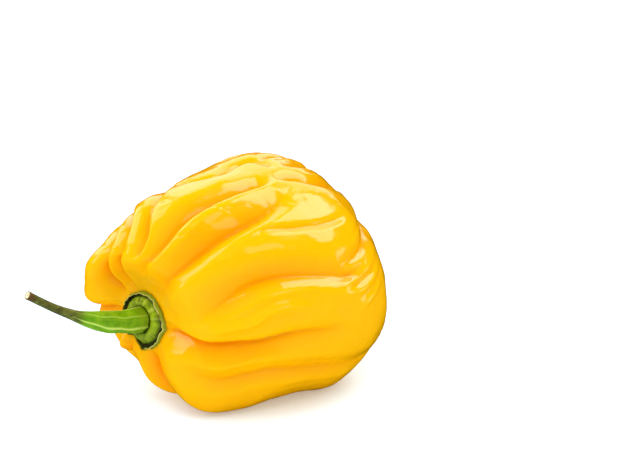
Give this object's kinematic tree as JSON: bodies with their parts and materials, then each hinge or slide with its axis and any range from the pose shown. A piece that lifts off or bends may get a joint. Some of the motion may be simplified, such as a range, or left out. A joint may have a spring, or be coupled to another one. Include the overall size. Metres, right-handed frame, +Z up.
{
  "type": "chilli pepper",
  "caption": "Fresh yellow habanero-type chilli pepper lying on its side, with a deeply folded glossy pod, a green calyx and a curved cut stem.",
  "frame": {"origin": "bottom centre of the whole pepper's box, on the surface it lies on", "axes": "+X from the stem's cut end towards the blossom tip, along the longest extent; +Z up as it lies; -Y is the side whose long folds and calyx are best seen"},
  "size_m": [0.0766, 0.0456, 0.0402],
  "materials": {
    "pod_skin": "glossy waxy skin, deep warm yellow, more orange in the folds",
    "calyx_green": "satin leafy green with a dry brown rim",
    "stem_green": "satin green, ridged, drying to brown at the cut end"
  },
  "bodies": {
    "root": {"pod": "pod_skin", "calyx": "calyx_green", "stem": "stem_green"}
  },
  "joints": []
}
